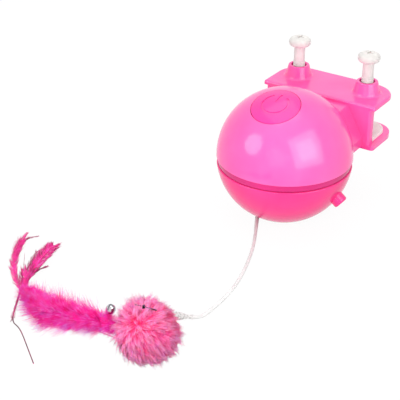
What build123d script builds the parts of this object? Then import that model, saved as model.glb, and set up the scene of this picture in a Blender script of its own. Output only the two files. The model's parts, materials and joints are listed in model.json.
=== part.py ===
from build123d import *
import math
import os

os.makedirs("parts", exist_ok=True)

# ---------------------------------------------------------------------------
# Driving dimensions, in millimetres and degrees.
# The origin is the middle of the flat foot; +Z is up, -Y is the front,
# +Y is the clamp's side. Heights named "..._level" are above the ball's centre.
# ---------------------------------------------------------------------------

# Ball
ball_r = 45.0
shell_wall = 2.2
foot_r = 12.0
foot_floor = 2.5
running_gap = 0.05

# Belt between the two halves, and the plate behind it
belt_depth = 1.1
belt_height = 4.3
belt_gap = 0.7
belt_wall = 2.4
chassis_plate = 2.0
lip_height = 2.0
lip_gap = 0.2

# Power button
button_tilt = 70.5
button_r = 15.95
button_gap = 0.38
button_wall = 2.2
button_travel = 1.2
plunger_r = 2.5
skirt_sink = 1.8
flange_thick = 0.9
flange_gap = 0.1
button_skirt = 1.5
button_flange = 1.4
guide_wall = 1.6
guide_depth = 6.3
guide_length = 3.4
icon_r = 8.5
icon_line = 1.3
icon_depth = 0.5
icon_break = 64.0

# Table clamp
clamp_sink = 2.6
clamp_depth = 37.8
plate_half_width = 42.6
plate_corner_r = 17.0
plate_top = 71.4
plate_thick = 2.8
plate_edge_r = 1.6
jaw_half_width = 43.2
jaw_corner_r = 16.0
jaw_top = 42.9
jaw_thick = 2.9
front_corner_r = 2.0
wall_thick = 5.1
wall_half_width = 40.0
under_plate_r = 5.0
pad_thick = 2.5
pad_inset = 4.4
pad_front_gap = 3.2
rotor_clearance = 1.2

# Neck between the ball and the clamp
neck_top_share = 0.511
neck_low_share = 0.778
neck_top_level = 25.5
neck_low_level = 4.5
neck_overlap = 1.0
neck_bottom_level = -2.0
neck_start = 20.0
neck_blend_r = 5.0
neck_top_edge_r = 1.0
neck_low_edge_r = 2.0
seam_reach = 0.02
seam_length = 0.5
core_wall = 3.2
core_half_width = 20.0
core_top_level = 21.0
core_bottom_level = 2.2

# Clamp screws
screw_x = 26.3
screw_setback = 20.3
screw_r = 4.1
screw_core_r = 3.75
screw_pitch = 1.25
screw_clearance = 0.08
thread_length = 16.0
boss_base_r = 9.4
boss_top_r = 7.2
boss_height = 8.6
boss_foot_r = 2.0
boss_rim_r = 0.7
boss_well_r = 5.4
boss_well_depth = 4.0
head_r = 7.5
head_height = 6.4
head_rise = 22.4
head_slot = 1.2
head_slot_length = 5.4
head_slot_depth = 1.0
head_neck_r = 5.2
head_wide_rise = 2.7
tip_pin_r = 2.4
tip_pin_length = 1.8
pressure_pad_r = 6.5
pressure_pad_thick = 3.2
pressure_pad_gap = 0.6
pad_edge_r = 0.8

# Battery compartment, along a level line that leans back from the left side
battery_azimuth = 160.0
battery_level = 16.0
cell_r = 5.25
cell_length = 43.5
cell_nub_r = 1.9
cell_nub = 1.0
cell_spacing = 10.6
contact_spring = 1.3
tray_r = 13.0
tray_wall = 1.3
tray_floor_drop = 9.7
tray_spare = 4.25
tray_leg_r = 2.4
tray_leg_along = 20.0
tray_leg_across = 6.0
contact_r = 4.4
contact_play = 0.1
contact_thick = 0.4
door_r = 13.2
door_gap = 0.3
door_tube_wall = 1.2
door_disc = 1.4
door_boss_r = 2.2
door_boss_length = 8.0
door_screw_grip = 17.0
door_screw_drop = 10.2
door_screw_r = 1.1
door_screw_head_r = 2.0
door_screw_recess = 7.0
door_boss_wall = 0.7

# Gear train
gear_module = 0.6
fast_module = 0.5
gear_teeth = 40
pinion_teeth = 10
tooth_thinning = 0.14
gear_thick = 3.0
fast_gear_thick = 2.0
gear_lift = 0.4
gear_step = 0.3
motor_azimuth = -110.0
motor_distance = 21.5
motor_r = 6.0
motor_length = 15.0
motor_shaft_r = 0.75
axle_r = 1.0
axle_seat = 1.2
motor_nose_r = 2.0
motor_edge_r = 0.8
motor_tail = 1.3
motor_tab = 2.0
motor_tab_radius = 4.0
motor_shaft_depth = 3.0
motor_shaft_grip = 2.8
collar_wall = 1.2
collar_height = 4.0
cover_level = 4.4
cover_thick = 1.6
cover_post_r = 2.4
cover_pad_r = 3.4
cover_hub_r = 4.5
cover_screw_grip = 5.0
cover_posts = [(16.5, -20.0), (-15.5, -10.5), (2.0, -28.5)]

# Posts and boards inside the housing
post_inset = 6.8
post_azimuths = [-55.0, 28.0, 205.0]
post_r = 3.2
post_bottom = -0.3
post_sink = 1.65
board_drop = 11.0
board_thick = 1.6
board_r = 23.2
board_post_radius = 20.6
board_post_r = 2.0
board_post_start = 30.0
board_post_root = 0.5
board_screw_r = 0.9
board_screw_grip = 3.5
board_screw_head = 1.2
chip_places = [(0.0, 9.0), (-8.0, -5.5)]
chip_length = 5.0
chip_width = 4.0
chip_height = 1.2
switch_side = 6.0
switch_height = 3.5
switch_stem_r = 1.7
switch_stem_sink = 0.4
switch_stem_rise = 1.4
switch_spare = 0.2
chassis_boss_wall = 1.0
chassis_screw_grip = 8.0
screw_head_gap = 0.3
screw_head_depth = 2.2
bush_r = 4.5
bush_drop = 2.0

# Rotor
shaft_r = 2.0
turntable_drop = 8.0
turntable_thick = 2.0
turntable_inset = 2.8
hub_r = 4.2
hub_drop = 4.0
thrust_gap = 0.1
clip_r = 3.6
clip_thick = 0.6
clip_groove_r = 1.5
clip_grip = 0.4
shaft_end = 1.0
dome_post_radius = 30.0
dome_post_start = -30.0
dome_post_sink = 0.7
dome_screw_grip = 6.0
rim_edge_r = 0.7
brush_y = -7.25
brush_length = 7.2
brush_width = 3.5
brush_height = 1.3
brush_strip = 0.2
brush_reach = 1.6
brush_play = 0.1
slip_ring_r = 14.0
slip_ring_thick = 0.9
track_thick = 0.15
track_width = 1.6
inner_track_r = 7.6
outer_track_r = 11.2
thread_screw_r = 1.1
thread_screw_head_r = 2.3
thread_screw_head = 1.5

# Laser
laser_azimuth = 0.0
laser_dip = 39.0
laser_pivot_level = 12.0
nozzle_r = 4.8
nozzle_bore_r = 3.2
nozzle_reach = 11.1
nozzle_root = 2.0
nozzle_lip = 1.2
aperture_r = 2.0
module_length = 11.0
module_cap_r = 2.2
module_cap_length = 1.5
beam_r = 1.0
beam_depth = 3.0
nozzle_edge_r = 1.4
lens_thick = 0.8

# Cord, in the order it runs from the sleeve to the connector
cord_r = 1.05
sleeve_r = 1.4
sleeve_tip_r = 1.15
sleeve_length = 23.0
gland_r = 1.6
gland_length = 6.5
channel_gap = 0.5
channel_length = 9.0
cord_points = [
    (0.2, -35.1, 1.30),
    (4.3, -42.8, 1.12),
    (10.4, -56.0, 1.05),
    (17.6, -75.5, 1.05),
    (22.9, -94.5, 1.05),
    (25.0, -112.5, 1.05),
    (25.2, -127.5, 1.30),
    (25.5, -137.7, 2.65),
    (23.8, -143.8, 6.00),
]
arc_share = 0.45

# Toy
ball_toy_r = 17.0
ball_toy_x = 19.9
ball_toy_y = -180.3
connector_tail_r = 1.4
connector_bulb_r = 2.3
connector_length = 22.5
bell_r = 2.9
bell_wall = 0.5
bell_slot = 0.8
bell_slot_start = 0.8
bell_at = (-9.0, -176.4, 17.6)
boa_stations = [
    (3.2, -180.4, 12.0, 3.5),
    (-5.5, -180.0, 10.5, 4.8),
    (-18.6, -180.5, 8.2, 6.4),
    (-30.0, -185.5, 8.3, 7.8),
    (-42.0, -186.8, 8.5, 8.2),
    (-54.0, -183.5, 7.6, 7.3),
    (-66.0, -178.0, 6.0, 5.7),
    (-75.0, -172.5, 3.5, 3.0),
    (-79.0, -169.8, 2.4, 1.6),
]
feather_thick = 0.6
feathers = [
    (
        "feather_curved",
        1.0,
        [
            (-79.6, -169.4),
            (-87.5, -165.6),
            (-96.6, -159.4),
            (-105.6, -149.9),
            (-113.9, -137.8),
            (-119.2, -128.0),
            (-122.3, -119.0),
        ],
        [0.7, 1.8, 2.4, 2.4, 2.2, 1.6, 0.4],
    ),
    (
        "feather_wide",
        1.7,
        [
            (-79.5, -169.5),
            (-86.0, -158.5),
            (-91.2, -146.0),
            (-94.6, -133.5),
            (-96.9, -122.0),
            (-98.0, -115.5),
        ],
        [0.7, 2.0, 3.4, 4.6, 4.2, 1.2],
    ),
    (
        "feather_slender",
        2.4,
        [(-79.6, -169.4), (-89.5, -154.0), (-97.0, -142.4), (-103.2, -131.5)],
        [0.6, 1.4, 1.6, 0.4],
    ),
    (
        "feather_trailing",
        3.1,
        [
            (-80.9, -169.4),
            (-80.0, -178.0),
            (-73.8, -186.0),
            (-67.6, -194.4),
            (-61.0, -200.8),
            (-51.0, -206.0),
            (-38.3, -214.4),
            (-27.3, -223.0),
        ],
        [0.6, 1.3, 1.5, 1.2, 0.5, 0.45, 0.45, 0.3],
    ),
]
stitch_r = 0.3
stitch_ends = [(14.6, -185.2, 34.7), (28.2, -183.7, 35.1)]
eye_r = 1.2
eye_share = 0.43

# ---------------------------------------------------------------------------
# Sizes and places worked out from the driving dimensions
# ---------------------------------------------------------------------------

centre_z = math.sqrt(ball_r**2 - foot_r**2)
inner_r = ball_r - shell_wall
belt_r = ball_r - belt_depth
chassis_bottom = -belt_height
chassis_top = chassis_bottom + chassis_plate
dome_rim = -belt_height - belt_gap
clamp_front = ball_r - clamp_sink
clamp_back = clamp_front + clamp_depth
plate_bottom = plate_top - plate_thick
jaw_bottom = jaw_top - jaw_thick
wall_back = clamp_front + wall_thick
neck_top_half = neck_top_share * ball_r
neck_low_half = neck_low_share * ball_r
screw_y = clamp_front + screw_setback


def level(height):
    """Horizontal plane at a height above the centre of the ball."""
    return Plane.XY.offset(centre_z + height)


def polar(distance, azimuth):
    """Point in plan at a distance from the ball's axis."""
    angle = math.radians(azimuth)
    return (distance * math.cos(angle), distance * math.sin(angle))


def upright(y):
    """Plane across the object at a given Y, with its own Y pointing up."""
    return Plane(origin=(0, y, centre_z), x_dir=(1, 0, 0), z_dir=(0, -1, 0))


button_dir = (0, -math.cos(math.radians(button_tilt)), math.sin(math.radians(button_tilt)))
button_plane = Plane(origin=(0, 0, centre_z), x_dir=(1, 0, 0), z_dir=button_dir)

battery_dir = (*polar(1, battery_azimuth), 0)
battery_plane = Plane(
    origin=(0, 0, centre_z + battery_level),
    x_dir=(*polar(1, battery_azimuth + 90), 0),
    z_dir=battery_dir,
)

laser_dir = (
    *polar(math.cos(math.radians(laser_dip)), laser_azimuth),
    -math.sin(math.radians(laser_dip)),
)
laser_plane = Plane(
    origin=(0, 0, centre_z + laser_pivot_level),
    x_dir=(*polar(1, laser_azimuth + 90), 0),
    z_dir=laser_dir,
)

# Gear centres: the output gear is on the ball's axis, the motor stands at its own
# distance, and the compound gear meshes with both.
slow_centres = gear_module * (gear_teeth + pinion_teeth) / 2
fast_centres = fast_module * (gear_teeth + pinion_teeth) / 2
train_angle = math.degrees(
    math.acos(
        (slow_centres**2 + motor_distance**2 - fast_centres**2)
        / (2 * slow_centres * motor_distance)
    )
)
compound_azimuth = motor_azimuth + train_angle
compound_at = polar(slow_centres, compound_azimuth)
motor_at = polar(motor_distance, motor_azimuth)
mesh_azimuth = math.degrees(
    math.atan2(motor_at[1] - compound_at[1], motor_at[0] - compound_at[0])
)
half_pinion_pitch = 180 / pinion_teeth
gear_bottom = chassis_top + gear_lift
gear_top = gear_bottom + gear_thick
fast_bottom = gear_top + gear_step
fast_top = fast_bottom + fast_gear_thick
cover_top = cover_level + cover_thick

# Posts, circuit board and button
boss_places = [(-screw_x, screw_y), (screw_x, screw_y)]
post_radius = inner_r - post_inset
post_top = math.sqrt(inner_r**2 - post_radius**2) - post_sink
post_places = [polar(post_radius, azimuth) for azimuth in post_azimuths]
board_level = inner_r - board_drop
board_top = board_level + board_thick
board_post_end = math.sqrt(inner_r**2 - board_post_radius**2) + board_post_root
guide_bottom = inner_r - guide_depth
flange_bottom = guide_bottom - flange_gap - flange_thick
plunger_bottom = board_top + switch_height + switch_stem_rise
switch_well = switch_stem_sink + button_travel + switch_spare
icon_reach = 2 * icon_r
icon_half_break = math.radians(icon_break / 2)
icon_wedge = [
    (-icon_reach * math.sin(icon_half_break), icon_reach * math.cos(icon_half_break)),
    (icon_reach * math.sin(icon_half_break), icon_reach * math.cos(icon_half_break)),
]

# Battery compartment: places are across and up from its own axis
tray_half_length = cell_length / 2 + tray_spare
cell_start = -tray_half_length + tray_wall + contact_thick + contact_spring
cell_radius = cell_spacing / math.sqrt(3)
cell_places = [
    (0, cell_radius),
    (-cell_spacing / 2, -cell_radius / 2),
    (cell_spacing / 2, -cell_radius / 2),
]
tray_floor_top = -tray_floor_drop + tray_wall
tray_leg_height = battery_level - tray_floor_drop - chassis_top + tray_wall / 2
tray_legs = []
for along, across in (
    (-tray_leg_along, -tray_leg_across),
    (tray_leg_along, -tray_leg_across),
    (tray_leg_along, tray_leg_across),
):
    leg = battery_plane.z_dir * along + battery_plane.x_dir * across
    tray_legs.append((leg.X, leg.Y))
door_tube_r = tray_r - tray_wall - door_gap
door_carrier_start = cell_start + cell_length + cell_nub + contact_play + contact_thick
door_tube_start = tray_half_length + door_gap
door_screw_seat = (
    math.sqrt(ball_r**2 - (battery_level - door_screw_drop) ** 2) - door_screw_recess
)

# Rotor
turntable_bottom = -turntable_drop - turntable_thick
turntable_r = inner_r - turntable_inset
dome_post_end = dome_post_sink - math.sqrt(inner_r**2 - dome_post_radius**2)
nozzle_tip = ball_r + nozzle_reach
nozzle_inner = ball_r - nozzle_root
hub_rise = turntable_drop - belt_height - bush_drop - thrust_gap
clip_level = gear_top + running_gap
shaft_top = clip_level + clip_thick + shaft_end
brush_middle = (inner_track_r + outer_track_r) / 2
brush_front = brush_y + brush_width / 2
brush_tip = chassis_bottom - slip_ring_thick - track_thick - brush_play
brush_root = -turntable_drop + brush_height - 2 * brush_strip
brush_profile = [
    (brush_front, brush_root - brush_strip),
    (brush_front, brush_root),
    (0, brush_tip),
    (brush_reach, brush_tip - 2 * brush_strip),
    (brush_reach, brush_tip - 3 * brush_strip),
    (0, brush_tip - brush_strip),
]

# Clamp screws, seen in section from their own axis
pressure_pad_top = plate_bottom - pressure_pad_gap
head_bottom = plate_top + head_rise
head_top = head_bottom + head_height
thread_turns = int(thread_length / screw_pitch)
thread_outline = []
for turn in range(thread_turns):
    foot = pressure_pad_top + turn * screw_pitch
    thread_outline += [
        (screw_core_r, foot + 0.1 * screw_pitch),
        (screw_r, foot + 0.4 * screw_pitch),
        (screw_r, foot + 0.6 * screw_pitch),
        (screw_core_r, foot + 0.9 * screw_pitch),
    ]

# Cord and what is on it
cord_route = [Vector(*point) for point in cord_points]
sleeve_dir = (cord_route[1] - cord_route[0]).normalized()
sleeve_plane = Plane(origin=cord_route[0] - sleeve_dir * sleeve_length, z_dir=sleeve_dir)
connector_dir = (cord_route[-1] - cord_route[-2]).normalized()
connector_normal = connector_dir.cross(Vector(0, 0, 1)).normalized()
stitch_start, stitch_end = (Vector(*point) for point in stitch_ends)


def save(part, name):
    """Label one finished piece and write its file."""
    part.label = name
    export_step(part, f"parts/{name}.step")


def gear_outline(module, teeth, phase):
    """Points of a spur gear's outline with involute flanks; a tooth points along phase."""
    pressure = math.radians(20)
    pitch_radius = module * teeth / 2
    base_radius = pitch_radius * math.cos(pressure)
    tip_radius = pitch_radius + 0.9 * module
    root_radius = pitch_radius - 1.25 * module

    def half_angle(radius):
        alpha = math.acos(min(1, base_radius / radius))
        spread = math.tan(pressure) - pressure - math.tan(alpha) + alpha
        return math.pi / (2 * teeth) * (1 - tooth_thinning) + spread

    flank = [max(base_radius, root_radius), pitch_radius, tip_radius]
    half_tooth = [(root_radius, half_angle(flank[0]))] + [(r, half_angle(r)) for r in flank]
    points = []
    for tooth in range(teeth):
        middle = math.radians(phase) + 2 * math.pi * tooth / teeth
        rising = [(r, middle - a) for r, a in half_tooth]
        falling = [(r, middle + a) for r, a in reversed(half_tooth)]
        for radius, angle in rising + falling:
            point = (radius * math.cos(angle), radius * math.sin(angle))
            if not points or math.dist(point, points[-1]) > module / 100:
                points.append(point)
    return points


# ---------------------------------------------------------------------------
# Housing
# ---------------------------------------------------------------------------


def clamp_plan(half_width, corner_r, front, inset=0):
    """Plan of the clamp's plate, jaw or pad: small corners in front, large ones behind."""
    depth = clamp_back - inset - front
    with Locations((0, front + depth / 2)):
        Rectangle(2 * (half_width - inset), depth)
    fillet(vertices().group_by(Axis.Y)[-1], corner_r - inset)
    fillet(vertices().group_by(Axis.Y)[0], front_corner_r)


with BuildPart() as upper_shell:
    # plate above the table edge
    with BuildSketch(Plane.XY.offset(plate_bottom)):
        clamp_plan(plate_half_width, plate_corner_r, clamp_front)
    extrude(amount=plate_thick)
    fillet(upper_shell.faces().sort_by(Axis.Z)[-1].edges(), plate_edge_r)
    # jaw under the table edge
    with BuildSketch(Plane.XY.offset(jaw_bottom)):
        clamp_plan(jaw_half_width, jaw_corner_r, clamp_front)
    extrude(amount=jaw_thick)
    # wall that joins them, narrower than both
    with BuildSketch(Plane.XY.offset(jaw_bottom)):
        with Locations((0, clamp_front + wall_thick / 2)):
            wall_plan = Rectangle(2 * wall_half_width, wall_thick)
        fillet(wall_plan.vertices().group_by(Axis.Y)[0], front_corner_r)
    extrude(amount=plate_top - plate_edge_r - jaw_bottom)
    under_plate = (
        upper_shell.edges()
        .filter_by(Axis.X)
        .filter_by_position(Axis.Z, plate_bottom - 0.1, plate_bottom + 0.1)
        .filter_by_position(Axis.Y, wall_back - 0.1, wall_back + 0.1)
    )
    fillet(under_plate, under_plate_r)
    # dome and neck
    with Locations((0, 0, centre_z)):
        Sphere(ball_r, arc_size1=0, align=(Align.CENTER, Align.CENTER, Align.MIN))
    with BuildSketch(upright(clamp_front + neck_overlap)):
        Polygon(
            (-neck_top_half, neck_top_level),
            (neck_top_half, neck_top_level),
            (neck_low_half, neck_low_level),
            (neck_low_half, neck_bottom_level),
            (-neck_low_half, neck_bottom_level),
            (-neck_low_half, neck_low_level),
            align=None,
        )
    extrude(amount=clamp_front + neck_overlap - neck_start)
    neck_tops = [
        edge
        for edge in upper_shell.edges().filter_by(Axis.Y)
        if abs((edge @ 0.5).Z - centre_z - neck_top_level) < seam_reach
        and neck_start < (edge @ 0.5).Y < clamp_front
    ]
    fillet(neck_tops, neck_top_edge_r)
    neck_lows = [
        edge
        for edge in upper_shell.edges().filter_by(Axis.Y)
        if abs((edge @ 0.5).Z - centre_z - neck_low_level) < seam_reach
        and neck_start < (edge @ 0.5).Y < clamp_front
    ]
    fillet(neck_lows, neck_low_edge_r)
    ball_seam = [
        edge
        for edge in upper_shell.edges()
        if edge.length > seam_length
        and (edge @ 0.5).Z > centre_z + belt_depth
        and (edge @ 0.5).Y > neck_start
        and all(
            abs((edge @ share - Vector(0, 0, centre_z)).length - ball_r) < seam_reach
            for share in (0.1, 0.5, 0.9)
        )
    ]
    fillet(ball_seam, neck_blend_r)
    # collars for the screws
    with Locations(*[(x, y, plate_top) for x, y in boss_places]):
        Cone(
            boss_base_r,
            boss_top_r,
            boss_height,
            align=(Align.CENTER, Align.CENTER, Align.MIN),
        )
    boss_circles = upper_shell.edges().filter_by(GeomType.CIRCLE)
    boss_feet = boss_circles.filter_by(lambda edge: abs(edge.radius - boss_base_r) < seam_reach)
    fillet(boss_feet, boss_foot_r)
    boss_circles = upper_shell.edges().filter_by(GeomType.CIRCLE)
    boss_rims = boss_circles.filter_by(lambda edge: abs(edge.radius - boss_top_r) < seam_reach)
    fillet(boss_rims, boss_rim_r)
    with BuildSketch(Plane.XY.offset(plate_top + boss_height)):
        with Locations(*boss_places):
            Circle(boss_well_r)
    extrude(amount=-boss_well_depth, mode=Mode.SUBTRACT)
    with BuildSketch(Plane.XY.offset(plate_bottom)):
        with Locations(*boss_places):
            Circle(screw_r + screw_clearance)
    extrude(amount=plate_thick + boss_height, mode=Mode.SUBTRACT)
    # room for the turning lower half
    with Locations((0, 0, centre_z)):
        Sphere(
            ball_r + rotor_clearance,
            arc_size2=0,
            align=(Align.CENTER, Align.CENTER, Align.MAX),
            mode=Mode.SUBTRACT,
        )
    # hollow inside
    with Locations((0, 0, centre_z)):
        Sphere(
            inner_r,
            arc_size1=0,
            align=(Align.CENTER, Align.CENTER, Align.MIN),
            mode=Mode.SUBTRACT,
        )
    with BuildSketch(upright(wall_back - core_wall)):
        with Locations((0, (core_top_level + core_bottom_level) / 2)):
            Rectangle(2 * core_half_width, core_top_level - core_bottom_level)
    extrude(amount=wall_back - core_wall - neck_start, mode=Mode.SUBTRACT)
    # posts for the chassis and the circuit board
    with BuildSketch(level(post_bottom)):
        with Locations(*post_places):
            Circle(post_r)
    extrude(amount=post_top - post_bottom)
    with BuildSketch(button_plane.offset(board_top)):
        with PolarLocations(board_post_radius, 3, board_post_start):
            Circle(board_post_r)
    extrude(amount=board_post_end - board_top)
    # guide and opening for the button
    with BuildSketch(button_plane.offset(guide_bottom)):
        Circle(button_r + button_gap + guide_wall)
    extrude(amount=guide_length)
    with BuildSketch(button_plane.offset(guide_bottom)):
        Circle(button_r + button_gap)
    extrude(amount=ball_r - guide_bottom, mode=Mode.SUBTRACT)
    # opening for the battery door
    with BuildSketch(battery_plane.offset(tray_half_length)):
        Circle(door_r + door_gap)
    extrude(amount=ball_r - tray_half_length, mode=Mode.SUBTRACT)
    # pilot holes for the screws
    with BuildSketch(level(post_bottom)):
        with Locations(*post_places):
            Circle(thread_screw_r)
    extrude(amount=chassis_screw_grip, mode=Mode.SUBTRACT)
    with BuildSketch(button_plane.offset(board_top)):
        with PolarLocations(board_post_radius, 3, board_post_start):
            Circle(board_screw_r)
    extrude(amount=board_screw_grip, mode=Mode.SUBTRACT)
save(upper_shell.part, "upper_shell")

with BuildPart() as jaw_pad:
    with BuildSketch(Plane.XY.offset(jaw_top)):
        clamp_plan(jaw_half_width, jaw_corner_r, wall_back + pad_front_gap, pad_inset)
    extrude(amount=pad_thick)
save(jaw_pad.part, "jaw_pad")

with BuildPart() as chassis:
    with BuildSketch(level(chassis_bottom)):
        Circle(belt_r)
    extrude(amount=belt_height)
    with BuildSketch(level(chassis_top)):
        Circle(belt_r - belt_wall)
    extrude(amount=belt_height, mode=Mode.SUBTRACT)
    with BuildSketch(level(0)):
        Circle(inner_r - lip_gap)
        Circle(belt_r - belt_wall, mode=Mode.SUBTRACT)
    extrude(amount=lip_height)
    with BuildSketch(level(chassis_bottom)):
        with Locations(*post_places):
            Circle(post_r + chassis_boss_wall)
    extrude(amount=post_bottom - chassis_bottom)
    with BuildSketch(level(chassis_top)):
        with Locations(*cover_posts):
            Circle(cover_post_r)
    extrude(amount=cover_level - chassis_top)
    # bush that reaches down through the slip ring
    with BuildSketch(level(chassis_bottom)):
        Circle(bush_r)
    extrude(amount=-bush_drop)
    with BuildSketch(level(chassis_bottom - bush_drop)):
        Circle(shaft_r + running_gap)
    extrude(amount=bush_drop + chassis_plate, mode=Mode.SUBTRACT)
    # screw holes
    with BuildSketch(level(chassis_bottom)):
        with Locations(*post_places):
            Circle(thread_screw_r)
    extrude(amount=post_bottom - chassis_bottom, mode=Mode.SUBTRACT)
    with BuildSketch(level(chassis_bottom)):
        with Locations(*post_places):
            Circle(thread_screw_head_r + screw_head_gap)
    extrude(amount=screw_head_depth, mode=Mode.SUBTRACT)
    with BuildSketch(level(cover_level)):
        with Locations(*cover_posts):
            Circle(thread_screw_r)
    extrude(amount=-cover_screw_grip, mode=Mode.SUBTRACT)
    # seat for the compound gear's axle
    with BuildSketch(level(chassis_top)):
        with Locations(compound_at):
            Circle(axle_r)
    extrude(amount=-axle_seat, mode=Mode.SUBTRACT)
save(chassis.part, "chassis")

with BuildPart() as gearbox_cover:
    with BuildSketch(level(cover_level)):
        with Locations(*cover_posts):
            Circle(cover_pad_r)
        with Locations(compound_at):
            Circle(cover_hub_r)
        with Locations(motor_at):
            Circle(motor_r + collar_wall)
        make_hull()
        with Locations(motor_at):
            Circle(motor_nose_r, mode=Mode.SUBTRACT)
        with Locations(compound_at):
            Circle(axle_r, mode=Mode.SUBTRACT)
        with Locations(*cover_posts):
            Circle(thread_screw_r, mode=Mode.SUBTRACT)
    extrude(amount=cover_thick)
    with BuildSketch(level(cover_top)):
        with Locations(motor_at):
            Circle(motor_r + collar_wall)
            Circle(motor_r, mode=Mode.SUBTRACT)
    extrude(amount=collar_height)
save(gearbox_cover.part, "gearbox_cover")

with BuildPart() as gear_axle:
    with BuildSketch(level(chassis_top - axle_seat)):
        with Locations(compound_at):
            Circle(axle_r)
    extrude(amount=cover_top - chassis_top + axle_seat)
save(gear_axle.part, "gear_axle")

with BuildPart() as drive_motor:
    with BuildSketch(level(cover_top)):
        with Locations(motor_at):
            Circle(motor_r)
    extrude(amount=motor_length)
    fillet(drive_motor.edges().group_by(Axis.Z)[-1], motor_edge_r)
    with BuildSketch(level(cover_top)):
        with Locations(motor_at):
            Circle(motor_nose_r)
    extrude(amount=-cover_thick)
    with BuildSketch(level(cover_top + motor_length)):
        with Locations(motor_at):
            Circle(motor_nose_r)
            with PolarLocations(motor_tab_radius, 2):
                Rectangle(motor_tab, motor_tab / 4)
    extrude(amount=motor_tail)
    with BuildSketch(level(cover_level)):
        with Locations(motor_at):
            Circle(motor_shaft_r + running_gap)
    extrude(amount=cover_thick + motor_shaft_depth, mode=Mode.SUBTRACT)
save(drive_motor.part, "drive_motor")

with BuildPart() as battery_tray:
    with BuildSketch(battery_plane.offset(-tray_half_length)):
        Circle(tray_r)
    extrude(amount=2 * tray_half_length)
    split(bisect_by=level(battery_level - tray_floor_drop), keep=Keep.TOP)
    with BuildSketch(battery_plane.offset(tray_half_length)):
        with Locations((0, -door_screw_drop)):
            Circle(door_boss_r)
    extrude(amount=-door_boss_length)
    with BuildSketch(level(chassis_top)):
        with Locations(*tray_legs):
            Circle(tray_leg_r)
    extrude(amount=tray_leg_height)
    with BuildSketch(battery_plane.offset(-tray_half_length + tray_wall)):
        Circle(tray_r - tray_wall)
        with Locations((0, tray_floor_top)):
            Rectangle(
                2 * tray_r,
                tray_r,
                align=(Align.CENTER, Align.MAX),
                mode=Mode.SUBTRACT,
            )
    extrude(amount=2 * tray_half_length, mode=Mode.SUBTRACT)
    with BuildSketch(battery_plane.offset(tray_half_length)):
        with Locations((0, -door_screw_drop)):
            Circle(door_screw_r + running_gap)
    extrude(amount=-door_boss_length, mode=Mode.SUBTRACT)
save(battery_tray.part, "battery_tray")

with BuildPart() as contacts_inner:
    with BuildSketch(battery_plane.offset(-tray_half_length + tray_wall)):
        with Locations(*cell_places):
            Circle(contact_r)
    extrude(amount=contact_thick)
    with BuildSketch(battery_plane.offset(-tray_half_length + tray_wall + contact_thick)):
        with Locations(*cell_places):
            Circle(cell_nub_r)
    extrude(amount=cell_start + tray_half_length - tray_wall - contact_thick)
save(contacts_inner.part, "contacts_inner")

for number, place in enumerate(cell_places, start=1):
    turned = number % 2 == 0
    start = cell_start + cell_nub if turned else cell_start
    nub_start = cell_start if turned else cell_start + cell_length
    with BuildPart() as battery_cell:
        with BuildSketch(battery_plane.offset(start)):
            with Locations(place):
                Circle(cell_r)
        extrude(amount=cell_length)
        with BuildSketch(battery_plane.offset(nub_start)):
            with Locations(place):
                Circle(cell_nub_r)
        extrude(amount=cell_nub)
    save(battery_cell.part, f"battery_cell_{number}")

with BuildPart() as circuit_board:
    with BuildSketch(button_plane.offset(board_level)):
        Circle(board_r)
        with PolarLocations(board_post_radius, 3, board_post_start):
            Circle(board_screw_r, mode=Mode.SUBTRACT)
    extrude(amount=board_thick)
    with BuildSketch(button_plane.offset(board_top)):
        with Locations(*chip_places):
            Rectangle(chip_length, chip_width)
    extrude(amount=chip_height)
save(circuit_board.part, "circuit_board")

with BuildPart() as tact_switch:
    with BuildSketch(button_plane.offset(board_top)):
        Rectangle(switch_side, switch_side)
    extrude(amount=switch_height)
    with BuildSketch(button_plane.offset(board_top + switch_height)):
        Circle(switch_stem_r + running_gap)
    extrude(amount=-switch_well, mode=Mode.SUBTRACT)
save(tact_switch.part, "tact_switch")

with BuildPart() as board_screws:
    with BuildSketch(button_plane.offset(board_level)):
        with PolarLocations(board_post_radius, 3, board_post_start):
            Circle(board_screw_r)
    extrude(amount=board_thick + board_screw_grip)
    with BuildSketch(button_plane.offset(board_level)):
        with PolarLocations(board_post_radius, 3, board_post_start):
            Circle(board_post_r)
    extrude(amount=-board_screw_head)
save(board_screws.part, "board_screws")

with BuildPart() as slip_ring:
    with BuildSketch(level(chassis_bottom)):
        Circle(slip_ring_r)
        Circle(bush_r, mode=Mode.SUBTRACT)
    extrude(amount=-slip_ring_thick)
save(slip_ring.part, "slip_ring")

with BuildPart() as slip_tracks:
    with BuildSketch(level(chassis_bottom - slip_ring_thick)):
        for track_r in (inner_track_r, outer_track_r):
            Circle(track_r + track_width / 2)
            Circle(track_r - track_width / 2, mode=Mode.SUBTRACT)
    extrude(amount=-track_thick)
save(slip_tracks.part, "slip_tracks")


def pan_screws(places, head_level, grip, name):
    """Pan-head screws that point up from their heads, or down where grip is negative."""
    direction = math.copysign(1, grip)
    with BuildPart() as screws:
        with BuildSketch(level(head_level)):
            with Locations(*places):
                Circle(thread_screw_head_r)
        extrude(amount=-direction * thread_screw_head)
        with BuildSketch(level(head_level)):
            with Locations(*places):
                Circle(thread_screw_r)
        extrude(amount=grip)
        with BuildSketch(level(head_level - direction * thread_screw_head)):
            with Locations(*places):
                Rectangle(2 * thread_screw_r, thread_screw_head / 3)
                Rectangle(thread_screw_head / 3, 2 * thread_screw_r)
        extrude(amount=direction * thread_screw_head / 2, mode=Mode.SUBTRACT)
    save(screws.part, name)


pan_screws(
    post_places,
    chassis_bottom + screw_head_depth,
    post_bottom - chassis_bottom - screw_head_depth + chassis_screw_grip,
    "chassis_screws",
)
pan_screws(cover_posts, cover_top, -cover_thick - cover_screw_grip, "cover_screws")

# ---------------------------------------------------------------------------
# Turning lower half
# ---------------------------------------------------------------------------

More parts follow.
